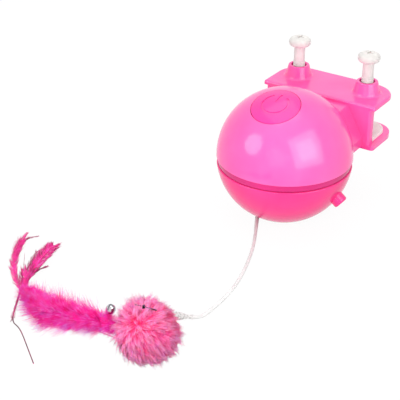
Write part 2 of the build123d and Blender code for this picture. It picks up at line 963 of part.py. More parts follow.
with BuildPart() as lower_dome:
    with Locations((0, 0, centre_z)):
        Sphere(ball_r)
    split(bisect_by=level(dome_rim), keep=Keep.BOTTOM)
    split(bisect_by=Plane.XY, keep=Keep.TOP)
    fillet(lower_dome.edges().group_by(Axis.Z)[-1], rim_edge_r)
    with BuildSketch(Plane.XY.offset(foot_floor)):
        Circle(ball_r)
    cavity = extrude(amount=ball_r, mode=Mode.PRIVATE)
    with Locations((0, 0, centre_z)):
        inner_ball = Sphere(inner_r, mode=Mode.PRIVATE)
    add(cavity & inner_ball, mode=Mode.SUBTRACT)
    # posts for the turntable
    with BuildSketch(level(turntable_bottom)):
        with PolarLocations(dome_post_radius, 3, dome_post_start):
            Circle(post_r)
    extrude(amount=dome_post_end - turntable_bottom)
    with BuildSketch(level(turntable_bottom)):
        with PolarLocations(dome_post_radius, 3, dome_post_start):
            Circle(thread_screw_r)
    extrude(amount=-dome_screw_grip, mode=Mode.SUBTRACT)
    # bore for the laser's nozzle
    with BuildSketch(laser_plane.offset(nozzle_inner)):
        Circle(nozzle_r)
    extrude(amount=nozzle_tip - nozzle_inner, mode=Mode.SUBTRACT)
    # seat and channel for the cord
    with BuildSketch(sleeve_plane):
        Circle(gland_r)
    extrude(amount=-gland_length, mode=Mode.SUBTRACT)
    with BuildSketch(sleeve_plane):
        Circle(sleeve_r + channel_gap)
    extrude(amount=channel_length, mode=Mode.SUBTRACT)
save(lower_dome.part, "lower_dome")

with BuildPart() as turntable:
    with BuildSketch(level(turntable_bottom)):
        Circle(turntable_r)
    extrude(amount=turntable_thick)
    with BuildSketch(level(turntable_bottom - hub_drop)):
        Circle(hub_r)
    extrude(amount=hub_drop + turntable_thick + hub_rise)
    with BuildSketch(level(turntable_bottom)):
        with PolarLocations(dome_post_radius, 3, dome_post_start):
            Circle(thread_screw_r)
    extrude(amount=turntable_thick, mode=Mode.SUBTRACT)
    with BuildSketch(level(turntable_bottom - hub_drop)):
        Circle(shaft_r)
    extrude(amount=hub_drop + turntable_thick + hub_rise, mode=Mode.SUBTRACT)
save(turntable.part, "turntable")

with BuildPart() as rotor_shaft:
    with BuildSketch(level(turntable_bottom - hub_drop)):
        Circle(shaft_r)
    extrude(amount=shaft_top - turntable_bottom + hub_drop)
    with BuildSketch(level(clip_level)):
        Circle(shaft_r)
        Circle(clip_groove_r, mode=Mode.SUBTRACT)
    extrude(amount=clip_thick, mode=Mode.SUBTRACT)
save(rotor_shaft.part, "rotor_shaft")

with BuildPart() as shaft_clip:
    with BuildSketch(level(clip_level)):
        Circle(clip_r)
        Circle(clip_groove_r, mode=Mode.SUBTRACT)
        with Locations((clip_r, 0)):
            Rectangle(2 * clip_r, 2 * clip_groove_r - clip_grip, mode=Mode.SUBTRACT)
    extrude(amount=clip_thick)
save(shaft_clip.part, "shaft_clip")

with BuildPart() as output_gear:
    with BuildSketch(level(gear_bottom)):
        Polygon(*gear_outline(gear_module, gear_teeth, compound_azimuth), align=None)
        Circle(shaft_r, mode=Mode.SUBTRACT)
    extrude(amount=gear_thick)
save(output_gear.part, "output_gear")

pan_screws(
    [polar(dome_post_radius, dome_post_start + 120 * turn) for turn in range(3)],
    turntable_bottom + turntable_thick,
    -turntable_thick - dome_screw_grip,
    "turntable_screws",
)

with BuildPart() as brush_block:
    with BuildSketch(level(turntable_bottom + turntable_thick)):
        with Locations((brush_middle, brush_y)):
            Rectangle(brush_length, brush_width)
    extrude(amount=brush_height)
save(brush_block.part, "brush_block")

with BuildPart() as brushes:
    for track_r in (inner_track_r, outer_track_r):
        with BuildSketch(Plane(origin=(track_r, 0, centre_z), x_dir=(0, 1, 0), z_dir=(1, 0, 0))):
            Polygon(*brush_profile, align=None)
        extrude(amount=track_width / 2, both=True)
save(brushes.part, "brushes")

with BuildPart() as laser_nozzle:
    with BuildSketch(laser_plane.offset(nozzle_inner)):
        Circle(nozzle_r)
    extrude(amount=nozzle_tip - nozzle_inner)
    nozzle_end = laser_nozzle.edges().sort_by(lambda edge: edge.center().dot(Vector(*laser_dir)))[-1]
    fillet(nozzle_end, nozzle_edge_r)
    with BuildSketch(laser_plane.offset(nozzle_inner)):
        Circle(nozzle_bore_r)
    extrude(amount=nozzle_tip - nozzle_lip - nozzle_inner, mode=Mode.SUBTRACT)
    with BuildSketch(laser_plane.offset(nozzle_inner)):
        Circle(aperture_r)
    extrude(amount=nozzle_tip - nozzle_inner, mode=Mode.SUBTRACT)
save(laser_nozzle.part, "laser_nozzle")

with BuildPart() as laser_module:
    with BuildSketch(laser_plane.offset(nozzle_tip - nozzle_lip - module_length)):
        Circle(nozzle_bore_r)
    extrude(amount=module_length)
    with BuildSketch(laser_plane.offset(nozzle_tip - nozzle_lip - module_length)):
        Circle(module_cap_r)
    extrude(amount=-module_cap_length)
    with BuildSketch(laser_plane.offset(nozzle_tip - nozzle_lip)):
        Circle(beam_r)
    extrude(amount=-beam_depth, mode=Mode.SUBTRACT)
save(laser_module.part, "laser_module")

with BuildPart() as laser_lens:
    with BuildSketch(laser_plane.offset(nozzle_tip - nozzle_lip)):
        Circle(aperture_r)
    extrude(amount=lens_thick)
save(laser_lens.part, "laser_lens")

# ---------------------------------------------------------------------------
# Cord
# ---------------------------------------------------------------------------

with BuildPart() as cord_gland:
    with BuildSketch(sleeve_plane):
        Circle(gland_r)
    extrude(amount=-gland_length)
save(cord_gland.part, "cord_gland")

with BuildPart() as cord_sleeve:
    with BuildSketch(sleeve_plane):
        Circle(sleeve_r)
    with BuildSketch(sleeve_plane.offset(sleeve_length)):
        Circle(sleeve_tip_r)
    loft()
save(cord_sleeve.part, "cord_sleeve")

runs = [cord_route[i + 1] - cord_route[i] for i in range(len(cord_route) - 1)]
cord_radii = []
for before, after in zip(runs, runs[1:]):
    turn = math.radians(before.get_angle(after))
    cord_radii.append(arc_share * min(before.length, after.length) / math.tan(turn / 2))
print("cord radii", [round(radius, 1) for radius in cord_radii])

with BuildPart() as cord:
    with BuildLine():
        path = FilletPolyline(*cord_route, radius=cord_radii)
    with BuildSketch(Plane(origin=cord_route[0], z_dir=runs[0])):
        Circle(cord_r)
    sweep(path=path)
cord_length = path.length
print("cord length", round(cord_length, 1))
print("volume ratio", round(cord.part.volume / (math.pi * cord_r**2 * cord_length), 4))
save(cord.part, "cord")

with BuildPart() as cord_connector:
    with BuildSketch(Plane(origin=cord_route[-1], x_dir=connector_dir, z_dir=connector_normal)):
        with BuildLine():
            Spline(
                (0, connector_tail_r),
                (connector_length * 0.25, connector_tail_r),
                (connector_length * 0.48, connector_bulb_r),
                (connector_length * 0.72, connector_bulb_r * 0.85),
                (connector_length, connector_tail_r * 0.6),
            )
            Polyline(
                (connector_length, connector_tail_r * 0.6),
                (connector_length, 0),
                (0, 0),
                (0, connector_tail_r),
            )
        make_face()
    revolve(axis=Axis(cord_route[-1], connector_dir))
save(cord_connector.part, "cord_connector")

# ---------------------------------------------------------------------------
# Toy on the end of the cord
# ---------------------------------------------------------------------------

with BuildPart() as fur_ball:
    with Locations((ball_toy_x, ball_toy_y, ball_toy_r)):
        Sphere(ball_toy_r)
save(fur_ball.part, "fur_ball")

with BuildPart() as feather_boa:
    for index, (x, y, z, r) in enumerate(boa_stations):
        before = Vector(*boa_stations[max(index - 1, 0)][:3])
        after = Vector(*boa_stations[min(index + 1, len(boa_stations) - 1)][:3])
        with BuildSketch(Plane(origin=(x, y, z), x_dir=(0, 0, 1), z_dir=after - before)):
            Circle(r)
    loft(ruled=True)
save(feather_boa.part, "feather_boa")

with BuildPart() as jingle_bell:
    with Locations(bell_at):
        Sphere(bell_r)
        Sphere(bell_r - bell_wall, mode=Mode.SUBTRACT)
    with BuildSketch(Plane(origin=bell_at).offset(bell_slot_start)):
        Rectangle(2 * bell_r, bell_slot)
        Rectangle(bell_slot, 2 * bell_r)
    extrude(amount=bell_r, mode=Mode.SUBTRACT)
save(jingle_bell.part, "jingle_bell")

with BuildPart() as eye_stitch:
    with BuildSketch(Plane(origin=stitch_start, z_dir=stitch_end - stitch_start)):
        Circle(stitch_r)
    extrude(amount=(stitch_end - stitch_start).length)
    with Locations(stitch_start + (stitch_end - stitch_start) * eye_share):
        Sphere(eye_r)
save(eye_stitch.part, "eye_stitch")


def feather(name, height, points, half_widths):
    """One flat feather: its middle line and its half width at each point."""
    left = []
    right = []
    for index, (x, y) in enumerate(points):
        before = Vector(*points[max(index - 1, 0)])
        after = Vector(*points[min(index + 1, len(points) - 1)])
        across = (after - before).normalized().rotate(Axis.Z, 90) * half_widths[index]
        left.append(Vector(x, y) + across)
        right.append(Vector(x, y) - across)
    with BuildPart() as blade:
        with BuildSketch(Plane.XY.offset(height)):
            with BuildLine():
                Spline(*left)
                Line(left[-1], right[-1])
                Spline(*reversed(right))
                Line(right[0], left[0])
            make_face()
        extrude(amount=feather_thick)
    save(blade.part, name)


for name, height, points, half_widths in feathers:
    feather(name, height, points, half_widths)

# ---------------------------------------------------------------------------
# Pieces that move against the housing
# ---------------------------------------------------------------------------

with BuildPart() as power_button:
    with Locations((0, 0, centre_z)):
        Sphere(ball_r)
        Sphere(ball_r - button_wall, mode=Mode.SUBTRACT)
    with BuildSketch(button_plane.offset(flange_bottom)):
        Circle(button_r)
    extrude(amount=ball_r - flange_bottom, mode=Mode.INTERSECT)
    with BuildSketch(button_plane.offset(flange_bottom)):
        Circle(button_r)
        Circle(button_r - button_skirt, mode=Mode.SUBTRACT)
    extrude(amount=inner_r - flange_bottom - skirt_sink)
    with BuildSketch(button_plane.offset(flange_bottom)):
        Circle(button_r + button_flange)
        Circle(button_r - button_skirt, mode=Mode.SUBTRACT)
    extrude(amount=flange_thick)
    with BuildSketch(button_plane.offset(plunger_bottom)):
        Circle(plunger_r)
    extrude(amount=inner_r - plunger_bottom + running_gap)
    # power symbol, sunk into the crown
    with BuildSketch(button_plane.offset(inner_r)):
        Circle(icon_r + icon_line / 2)
        Circle(icon_r - icon_line / 2, mode=Mode.SUBTRACT)
        with BuildLine():
            Polyline((0, 0), *icon_wedge, close=True)
        make_face(mode=Mode.SUBTRACT)
        with Locations((0, icon_r * 0.62)):
            SlotOverall(icon_r * 0.95, icon_line, rotation=90)
    icon = extrude(amount=ball_r - inner_r, mode=Mode.PRIVATE)
    with Locations((0, 0, centre_z)):
        icon_floor = Sphere(ball_r - icon_depth, mode=Mode.PRIVATE)
    add(icon - icon_floor, mode=Mode.SUBTRACT)
save(power_button.part, "power_button")

with BuildPart() as switch_plunger:
    with BuildSketch(button_plane.offset(board_top + switch_height - switch_stem_sink)):
        Circle(switch_stem_r)
    extrude(amount=plunger_bottom - board_top - switch_height + switch_stem_sink)
save(switch_plunger.part, "switch_plunger")

with BuildPart() as battery_door:
    with BuildSketch(battery_plane.offset(door_tube_start)):
        Circle(door_tube_r)
        with Locations((0, -door_screw_drop)):
            Circle(door_screw_head_r + screw_head_gap + door_boss_wall)
    extrude(amount=ball_r)
    with BuildSketch(battery_plane.offset(door_tube_start + door_disc)):
        Circle(door_tube_r - door_tube_wall)
        with Locations((0, -door_screw_drop)):
            Circle(door_screw_head_r + screw_head_gap + door_boss_wall, mode=Mode.SUBTRACT)
    extrude(amount=ball_r, mode=Mode.SUBTRACT)
    with Locations((0, 0, centre_z)):
        Sphere(inner_r, mode=Mode.INTERSECT)
    # crown that closes the ball's surface
    with BuildSketch(battery_plane.offset(door_tube_start)):
        Circle(door_r)
    crown = extrude(amount=ball_r, mode=Mode.PRIVATE)
    with Locations((0, 0, centre_z)):
        outer_ball = Sphere(ball_r, mode=Mode.PRIVATE)
        inner_ball = Sphere(inner_r, mode=Mode.PRIVATE)
    add((crown & outer_ball) - inner_ball)
    # carrier for the contacts, flat below like the tray's floor
    with BuildSketch(battery_plane.offset(door_carrier_start)):
        Circle(door_tube_r)
        with Locations((0, tray_floor_top + door_gap)):
            Rectangle(
                2 * tray_r,
                tray_r,
                align=(Align.CENTER, Align.MAX),
                mode=Mode.SUBTRACT,
            )
    extrude(amount=door_tube_start - door_carrier_start)
    # screw hole and its recess
    with BuildSketch(battery_plane.offset(door_tube_start)):
        with Locations((0, -door_screw_drop)):
            Circle(door_screw_r)
    extrude(amount=ball_r, mode=Mode.SUBTRACT)
    with BuildSketch(battery_plane.offset(door_screw_seat)):
        with Locations((0, -door_screw_drop)):
            Circle(door_screw_head_r + screw_head_gap)
    extrude(amount=ball_r, mode=Mode.SUBTRACT)
save(battery_door.part, "battery_door")

with BuildPart() as door_screw:
    with BuildSketch(battery_plane.offset(door_screw_seat)):
        with Locations((0, -door_screw_drop)):
            Circle(door_screw_head_r)
    extrude(amount=thread_screw_head)
    with BuildSketch(battery_plane.offset(door_screw_seat)):
        with Locations((0, -door_screw_drop)):
            Circle(door_screw_r)
    extrude(amount=-door_screw_grip)
    with BuildSketch(battery_plane.offset(door_screw_seat + thread_screw_head)):
        with Locations((0, -door_screw_drop)):
            Rectangle(2 * thread_screw_r, thread_screw_head / 3)
            Rectangle(thread_screw_head / 3, 2 * thread_screw_r)
    extrude(amount=-thread_screw_head / 2, mode=Mode.SUBTRACT)
save(door_screw.part, "door_screw")

with BuildPart() as contacts_door:
    with BuildSketch(battery_plane.offset(door_carrier_start)):
        with Locations(*cell_places):
            Circle(contact_r)
    extrude(amount=-contact_thick)
save(contacts_door.part, "contacts_door")

with BuildPart() as compound_gear:
    with BuildSketch(Plane(origin=(*compound_at, centre_z + gear_bottom))):
        Polygon(*gear_outline(gear_module, pinion_teeth, compound_azimuth + half_pinion_pitch), align=None)
        Circle(axle_r + running_gap, mode=Mode.SUBTRACT)
    extrude(amount=gear_thick + gear_step)
    with BuildSketch(Plane(origin=(*compound_at, centre_z + fast_bottom))):
        Polygon(*gear_outline(fast_module, gear_teeth, mesh_azimuth), align=None)
        Circle(axle_r + running_gap, mode=Mode.SUBTRACT)
    extrude(amount=fast_gear_thick)
save(compound_gear.part, "compound_gear")

with BuildPart() as motor_pinion:
    with BuildSketch(Plane(origin=(*motor_at, centre_z + fast_bottom))):
        Polygon(*gear_outline(fast_module, pinion_teeth, mesh_azimuth + half_pinion_pitch), align=None)
    extrude(amount=fast_gear_thick)
    with BuildSketch(Plane(origin=(*motor_at, centre_z + fast_top))):
        Circle(motor_shaft_r)
    extrude(amount=cover_top - fast_top + motor_shaft_grip)
save(motor_pinion.part, "motor_pinion")

for side, (x, y) in zip(("left", "right"), boss_places):
    with BuildPart() as clamp_screw:
        with BuildSketch(Plane(origin=(x, y, 0), x_dir=(1, 0, 0), z_dir=(0, -1, 0))):
            with BuildLine():
                Polyline(
                    (0, head_top),
                    (0, pressure_pad_top - tip_pin_length),
                    (tip_pin_r, pressure_pad_top - tip_pin_length),
                    (tip_pin_r, pressure_pad_top),
                    (screw_core_r, pressure_pad_top),
                    *thread_outline,
                    (screw_core_r, head_bottom),
                    (head_neck_r, head_bottom),
                )
                Spline(
                    (head_neck_r, head_bottom),
                    (head_r, head_bottom + head_wide_rise),
                    (0, head_top),
                    tangents=[(1, 0.2), (-1, 0)],
                )
            make_face()
        revolve(axis=Axis((x, y, 0), (0, 0, 1)))
        with BuildSketch(Plane(origin=(x, y, head_top))):
            Rectangle(head_slot_length, head_slot)
            Rectangle(head_slot, head_slot_length)
        extrude(amount=-head_slot_depth, mode=Mode.SUBTRACT)
    save(clamp_screw.part, f"clamp_screw_{side}")
    with BuildPart() as pressure_pad:
        with BuildSketch(Plane(origin=(x, y, pressure_pad_top))):
            Circle(pressure_pad_r)
        extrude(amount=-pressure_pad_thick)
        fillet(pressure_pad.edges().group_by(Axis.Z)[-1], pad_edge_r)
        with BuildSketch(Plane(origin=(x, y, pressure_pad_top))):
            Circle(tip_pin_r + running_gap)
        extrude(amount=-tip_pin_length - running_gap, mode=Mode.SUBTRACT)
    save(pressure_pad.part, f"pressure_pad_{side}")
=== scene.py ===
import json
import math
import random

import bmesh
import bpy
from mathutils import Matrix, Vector, noise


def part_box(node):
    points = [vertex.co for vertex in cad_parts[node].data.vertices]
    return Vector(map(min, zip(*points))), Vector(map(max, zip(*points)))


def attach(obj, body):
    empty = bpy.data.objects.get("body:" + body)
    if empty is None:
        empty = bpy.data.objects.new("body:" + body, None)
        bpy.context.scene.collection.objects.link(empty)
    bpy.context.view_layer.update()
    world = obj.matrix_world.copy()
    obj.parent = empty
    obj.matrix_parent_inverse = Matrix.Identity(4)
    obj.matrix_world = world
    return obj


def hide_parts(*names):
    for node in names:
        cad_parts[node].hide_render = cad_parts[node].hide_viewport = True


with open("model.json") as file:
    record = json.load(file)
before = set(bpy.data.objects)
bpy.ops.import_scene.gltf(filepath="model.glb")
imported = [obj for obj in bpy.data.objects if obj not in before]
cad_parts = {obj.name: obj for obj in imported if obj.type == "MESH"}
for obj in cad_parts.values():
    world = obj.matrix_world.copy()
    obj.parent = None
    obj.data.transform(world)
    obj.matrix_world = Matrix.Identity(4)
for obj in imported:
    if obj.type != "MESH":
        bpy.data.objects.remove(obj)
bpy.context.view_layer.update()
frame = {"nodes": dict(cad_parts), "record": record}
nodes = frame["nodes"]

MM = 0.001
BALL_CENTRE = Vector((0, 0, 43.37)) * MM
BALL_R = 45 * MM


def placed(name, data):
    """A new object with the data, in the scene."""
    made = bpy.data.objects.new(name, data)
    bpy.context.scene.collection.objects.link(made)
    return made


# ---------------------------------------------------------------------------
# Camera
# ---------------------------------------------------------------------------

CAMERA_LENS = 102.25
CAMERA_SENSOR = 36
CAMERA_PLACE = (0.32620, -0.58684, 0.37975)
CAMERA_TURN = (61.011, 0, 33.827)  # degrees

camera_data = bpy.data.cameras.new("camera")
camera_data.lens = CAMERA_LENS
camera_data.sensor_width = CAMERA_SENSOR
camera = placed("camera", camera_data)
camera.location = CAMERA_PLACE
camera.rotation_euler = [math.radians(turn) for turn in CAMERA_TURN]
bpy.context.scene.camera = camera


# ---------------------------------------------------------------------------
# Materials
# ---------------------------------------------------------------------------

NOISE_LOW = 0.3
NOISE_HIGH = 0.7
GLOW_DEPTH = 0.8 * MM
SYMBOL_RIM = 0.1 * MM
SYMBOL_FLOOR = 0.45 * MM


def linear(red, green, blue):
    """Linear colour of an sRGB colour given from 0 to 255."""
    channels = []
    for value in (red / 255, green / 255, blue / 255):
        if value <= 0.04045:
            channels.append(value / 12.92)
        else:
            channels.append(((value + 0.055) / 1.055) ** 2.4)
    return (*channels, 1)


class Surface:
    """A procedural material, built node by node around one Principled shader.

    Most noise lies between NOISE_LOW and NOISE_HIGH, so colours and roughness run between those.
    """

    def __init__(self, name, **sockets):
        self.material = bpy.data.materials.new(name)
        self.material.use_nodes = True
        self.tree = self.material.node_tree
        self.shader = self.tree.nodes["Principled BSDF"]
        for socket, value in sockets.items():
            self.shader.inputs[socket.replace("_", " ")].default_value = value
        self.coords = self.tree.nodes.new("ShaderNodeTexCoord")

    def add(self, kind, **values):
        """New node; each value goes to the input or else the property of that name."""
        node = self.tree.nodes.new(kind)
        for key, value in values.items():
            if key in node.inputs:
                node.inputs[key].default_value = value
            else:
                setattr(node, key, value)
        return node

    def link(self, source, target):
        self.tree.links.new(source, target)

    def noise(self, size, detail=3, stretch=(1, 1, 1)):
        """Noise with features of about the given size in metres."""
        scaled = self.add("ShaderNodeMapping")
        scaled.inputs["Scale"].default_value = stretch
        self.link(self.coords.outputs["Object"], scaled.inputs["Vector"])
        texture = self.add("ShaderNodeTexNoise", Scale=1 / size, Detail=detail)
        self.link(scaled.outputs["Vector"], texture.inputs["Vector"])
        return texture.outputs["Fac"]

    def random_per_hair(self):
        """A number from 0 to 1 that is the same all over one hair."""
        return self.add("ShaderNodeNewGeometry").outputs["Random Per Island"]

    def distance_from(self, point):
        """Distance of the surface from a point, in metres."""
        away = self.add("ShaderNodeVectorMath", operation="DISTANCE")
        away.inputs[1].default_value = point
        self.link(self.coords.outputs["Object"], away.inputs[0])
        return away.outputs["Value"]

    def ranged(self, value, low, high, new_low=0.0, new_high=1.0):
        """The value, moved from one range to another."""
        scaled = self.add("ShaderNodeMapRange")
        for index, limit in enumerate((low, high, new_low, new_high), start=1):
            scaled.inputs[index].default_value = limit
        self.link(value, scaled.inputs["Value"])
        return scaled.outputs["Result"]

    def total(self, *values):
        """Sum of weighted values, each given as (value, weight)."""
        result = None
        for value, weight in values:
            scaled = self.add("ShaderNodeMath", operation="MULTIPLY_ADD")
            self.link(value, scaled.inputs[0])
            scaled.inputs[1].default_value = weight
            if result is None:
                scaled.inputs[2].default_value = 0
            else:
                self.link(result, scaled.inputs[2])
            result = scaled.outputs["Value"]
        return result

    def ramp(self, value, *stops):
        """Colour ramp; each stop is (position, sRGB colour)."""
        ramp = self.add("ShaderNodeValToRGB")
        elements = ramp.color_ramp.elements
        elements[0].position = stops[0][0]
        elements[0].color = linear(*stops[0][1])
        elements[1].position = stops[-1][0]
        elements[1].color = linear(*stops[-1][1])
        for position, shade in stops[1:-1]:
            elements.new(position).color = linear(*shade)
        self.link(value, ramp.inputs["Fac"])
        return ramp.outputs["Color"]

    def colour(self, value, *stops):
        self.link(self.ramp(value, *stops), self.shader.inputs["Base Color"])

    def blotches(self, size, dark, light):
        """Base colour that wanders between two close shades."""
        self.colour(self.noise(size), (NOISE_LOW, dark), (NOISE_HIGH, light))

    def roughness(self, value, low, high):
        spread = self.ranged(value, NOISE_LOW, NOISE_HIGH, low, high)
        self.link(spread, self.shader.inputs["Roughness"])

    def bump(self, value, depth, strength=1.0):
        bump = self.add("ShaderNodeBump", Distance=depth, Strength=strength)
        self.link(value, bump.inputs["Height"])
        self.link(bump.outputs["Normal"], self.shader.inputs["Normal"])

    def orange_peel(self):
        """The slight waviness of a moulded gloss face."""
        self.bump(self.noise(1.6 * MM, detail=2), 0.012 * MM, 0.5)


def gloss(name, dark, light, rough=(0.13, 0.19), specular=0.5, **sockets):
    """Moulded plastic: faint flow marks in the colour, a slight orange peel and fine scuffs."""
    surface = Surface(name, Specular_IOR_Level=specular, IOR=1.5, **sockets)
    surface.blotches(24 * MM, dark, light)
    surface.roughness(surface.noise(3 * MM, detail=6, stretch=(1, 1, 4)), *rough)
    surface.orange_peel()
    return surface.material


def matt(name, dark, light, grain=0.5 * MM, depth=0.03 * MM, rough=(0.45, 0.62), **sockets):
    """Matt plastic, rubber or paint with a fine grain."""
    surface = Surface(name, **sockets)
    surface.blotches(8 * MM, dark, light)
    surface.roughness(surface.noise(2 * MM, detail=5), *rough)
    surface.bump(surface.noise(grain), depth, 0.6)
    return surface.material


def metal(name, dark, light, brush=(1, 1, 10), rough=(0.22, 0.4)):
    """Bare or plated metal with drawn marks."""
    surface = Surface(name, Metallic=1.0)
    surface.blotches(3 * MM, dark, light)
    surface.roughness(surface.noise(0.8 * MM, detail=5, stretch=brush), *rough)
    surface.bump(surface.noise(0.5 * MM, detail=4, stretch=brush), 0.008 * MM, 0.5)
    return surface.material


materials = {
    "shell_pink": gloss("shell_pink", (250, 84, 165), (253, 96, 173)),
    "lower_pink": gloss("lower_pink", (238, 50, 128), (244, 60, 138), specular=0.3),
    # The belt is drawn darker than the shell, which is painted shade in the recessed band.
    "belt_pink": gloss("belt_pink", (196, 16, 108), (206, 26, 118), rough=(0.16, 0.22)),
    "inner_plastic": matt("inner_plastic", (214, 214, 210), (228, 228, 224)),
    "gear_plastic": matt("gear_plastic", (228, 226, 214), (240, 238, 228), rough=(0.3, 0.42)),
    "steel": metal("steel", (168, 168, 172), (200, 200, 204)),
    "motor_can": metal("motor_can", (160, 160, 166), (190, 190, 196), brush=(1, 1, 1)),
    "cell_jacket": matt("cell_jacket", (52, 54, 58), (66, 68, 72), rough=(0.25, 0.38)),
    "brass_contact": metal("brass_contact", (190, 150, 80), (214, 178, 104)),
    "board": matt("board", (26, 92, 48), (42, 118, 64), rough=(0.3, 0.45)),
    "switch_body": matt("switch_body", (28, 28, 28), (40, 40, 40)),
    "laser_brass": metal("laser_brass", (178, 140, 76), (204, 168, 98)),
    "bell_silver": metal("bell_silver", (190, 190, 196), (226, 226, 230), rough=(0.1, 0.22)),
    "cord_white": matt(
        "cord_white", (204, 203, 202), (216, 215, 214), grain=0.3 * MM, depth=0.02 * MM
    ),
    "stitch_black": matt(
        "stitch_black", (10, 6, 8), (22, 14, 18), grain=0.2 * MM, depth=0.05 * MM, rough=(0.6, 0.8),
        Specular_IOR_Level=0.2,
    ),
    "lens_clear": gloss(
        "lens_clear", (226, 60, 70), (240, 90, 96), rough=(0.04, 0.1), Transmission_Weight=0.6
    ),
}


def button_material():
    """Glossy pink, with the sunk lines of the symbol drawn lighter, which is painted light against
    their shade.
    """
    surface = Surface("button_pink", Specular_IOR_Level=0.5, IOR=1.5)
    level = surface.distance_from(BALL_CENTRE)
    # 0 at the floor of the sunk lines and 1 at the face; the floor gets the lightest pink, which is
    # painted light.
    depth = surface.ranged(level, BALL_R - SYMBOL_FLOOR, BALL_R - SYMBOL_RIM)
    blotch = surface.noise(18 * MM)
    mixed = surface.total((depth, 0.8), (blotch, 0.2))
    surface.colour(mixed, (0.1, (252, 66, 158)), (0.8, (248, 44, 146)), (1.0, (250, 56, 154)))
    surface.roughness(surface.noise(3 * MM, detail=6), 0.16, 0.24)
    surface.orange_peel()
    return surface.material


def milky_material():
    """Translucent nylon of the clamp screws."""
    surface = Surface("clear_screw", Transmission_Weight=0.2, IOR=1.35, Specular_IOR_Level=0.35)
    surface.blotches(5 * MM, (226, 223, 220), (237, 234, 230))
    surface.roughness(surface.noise(2 * MM, detail=4), 0.34, 0.46)
    surface.bump(surface.noise(3 * MM, detail=2), 0.015 * MM, 0.4)
    return surface.material


def clear_material():
    """Soft clear plastic of the cord's connector, a little cloudy."""
    surface = Surface("connector_clear", Transmission_Weight=0.3, IOR=1.38)
    surface.blotches(4 * MM, (206, 203, 202), (222, 219, 218))
    surface.roughness(surface.noise(1.5 * MM, detail=4), 0.2, 0.36)
    surface.bump(surface.noise(2 * MM), 0.04 * MM, 0.6)
    return surface.material


def foam_material():
    """Pale closed-cell foam with a fine open surface."""
    surface = Surface("clamp_pad", Specular_IOR_Level=0.2)
    cells = surface.noise(0.6 * MM, detail=4)
    mixed = surface.total((cells, 0.6), (surface.noise(9 * MM), 0.4))
    surface.colour(mixed, (0.35, (230, 227, 223)), (0.65, (245, 242, 239)))
    surface.roughness(surface.noise(4 * MM), 0.8, 0.95)
    surface.bump(cells, 0.12 * MM)
    return surface.material


materials["button_pink"] = button_material()
materials["clear_screw"] = milky_material()
materials["connector_clear"] = clear_material()
materials["clamp_pad"] = foam_material()

for subpart in frame["record"]["subparts"]:
    finish = materials.get(subpart["material_slot"])
    if finish:
        node = nodes[subpart["node"]]
        node.data.materials.clear()
        node.data.materials.append(finish)


# ---------------------------------------------------------------------------
# Cord
# ---------------------------------------------------------------------------

CORD_D = 2.1 * MM
CORD_ROUTE = [
    (0.2, -35.1, 1.30),
    (4.3, -42.8, 1.12),
    (10.4, -56.0, 1.05),
    (17.6, -75.5, 1.05),
    (22.9, -94.5, 1.05),
    (25.0, -112.5, 1.05),
    (25.2, -127.5, 1.30),
    (25.5, -137.7, 2.65),
    (23.8, -143.8, 6.00),
]


def nurbs_tube(name, points, radius, material):
    """Round tube of the toy along a smooth curve that has the points, in mm, as control points."""
    curve = bpy.data.curves.new(name, "CURVE")
    curve.dimensions = "3D"
    spline = curve.splines.new("NURBS")
    spline.points.add(len(points) - 1)
    for point, place in zip(spline.points, points):
        point.co = (*(Vector(place) * MM), 1)
    spline.order_u = 3
    spline.use_endpoint_u = True
    spline.resolution_u = 16
    curve.bevel_depth = radius
    curve.bevel_resolution = 6
    curve.use_fill_caps = True
    curve.materials.append(material)
    tube = placed(name, curve)
    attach(tube, "rotor")
    return tube


cord = nurbs_tube("white_cord", CORD_ROUTE, CORD_D / 2, materials["cord_white"])
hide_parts("cord")


# ---------------------------------------------------------------------------
# Meshes and fibres
# ---------------------------------------------------------------------------

# The fur, the boa and the feathers are worked out in mm and become metres in their meshes.
HAIR_TAPER = 0.75  # share of its radius that a hair loses towards its tip
ASKEW = Vector((0.13, 0.21, 0.97))  # a direction that no hair lies along


def finished(mesh, material, body="rotor", smooth=True):
    """The mesh as a piece that rides on a body."""
    mesh.materials.append(material)
    mesh.polygons.foreach_set("use_smooth", [smooth] * len(mesh.polygons))
    mesh.update()
    piece = placed(mesh.name, mesh)
    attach(piece, body)
    return piece


def new_mesh(name, vertices, faces):
    mesh = bpy.data.meshes.new(name)
    mesh.from_pydata(vertices, [], faces)
    return mesh


def tube_faces(rings, around):
    """Faces of a closed tube whose points go round it ring by ring."""
    faces = []
    for ring in range(rings - 1):
        low = ring * around
        high = low + around
        for turn in range(around):
            following = (turn + 1) % around
            faces.append((low + turn, low + following, high + following, high + turn))
    faces.append(tuple(reversed(range(around))))
    faces.append(tuple(range((rings - 1) * around, rings * around)))
    return faces


def fibres(name, strands, material):
    """One mesh of thin three-sided hairs, each closed at its root and drawn to a point.

    A strand is (points, radius at the root, thickness), the first two in mm and the thickness
    as a share of its width.
    """
    vertices = []
    faces = []
    for points, radius, thickness in strands:
        start = len(vertices)
        rings = len(points) - 1
        for index in range(rings):
            along = (points[index + 1] - points[max(index - 1, 0)]).normalized()
            across = along.cross(ASKEW).normalized()
            up = across.cross(along)
            width = radius * (1 - HAIR_TAPER * (index / rings) ** 1.5)
            for turn in range(3):
                angle = 2 * math.pi * turn / 3 + 0.5
                offset = across * math.cos(angle) + up * math.sin(angle) * thickness
                vertices.append((points[index] + offset * width) * MM)
        vertices.append(points[-1] * MM)
        tip = len(vertices) - 1
        faces.append((start + 2, start + 1, start))
        for index in range(rings - 1):
            low = start + 3 * index
            for turn in range(3):
                following = (turn + 1) % 3
                faces.append((low + turn, low + following, low + 3 + following, low + 3 + turn))
        low = start + 3 * (rings - 1)
        for turn in range(3):
            faces.append((low + turn, low + (turn + 1) % 3, tip))
    return finished(new_mesh(name, vertices, faces), material)


def above_floor(point, least=0.35):
    """The point, kept off the floor."""
    return Vector((point.x, point.y, max(point.z, least)))


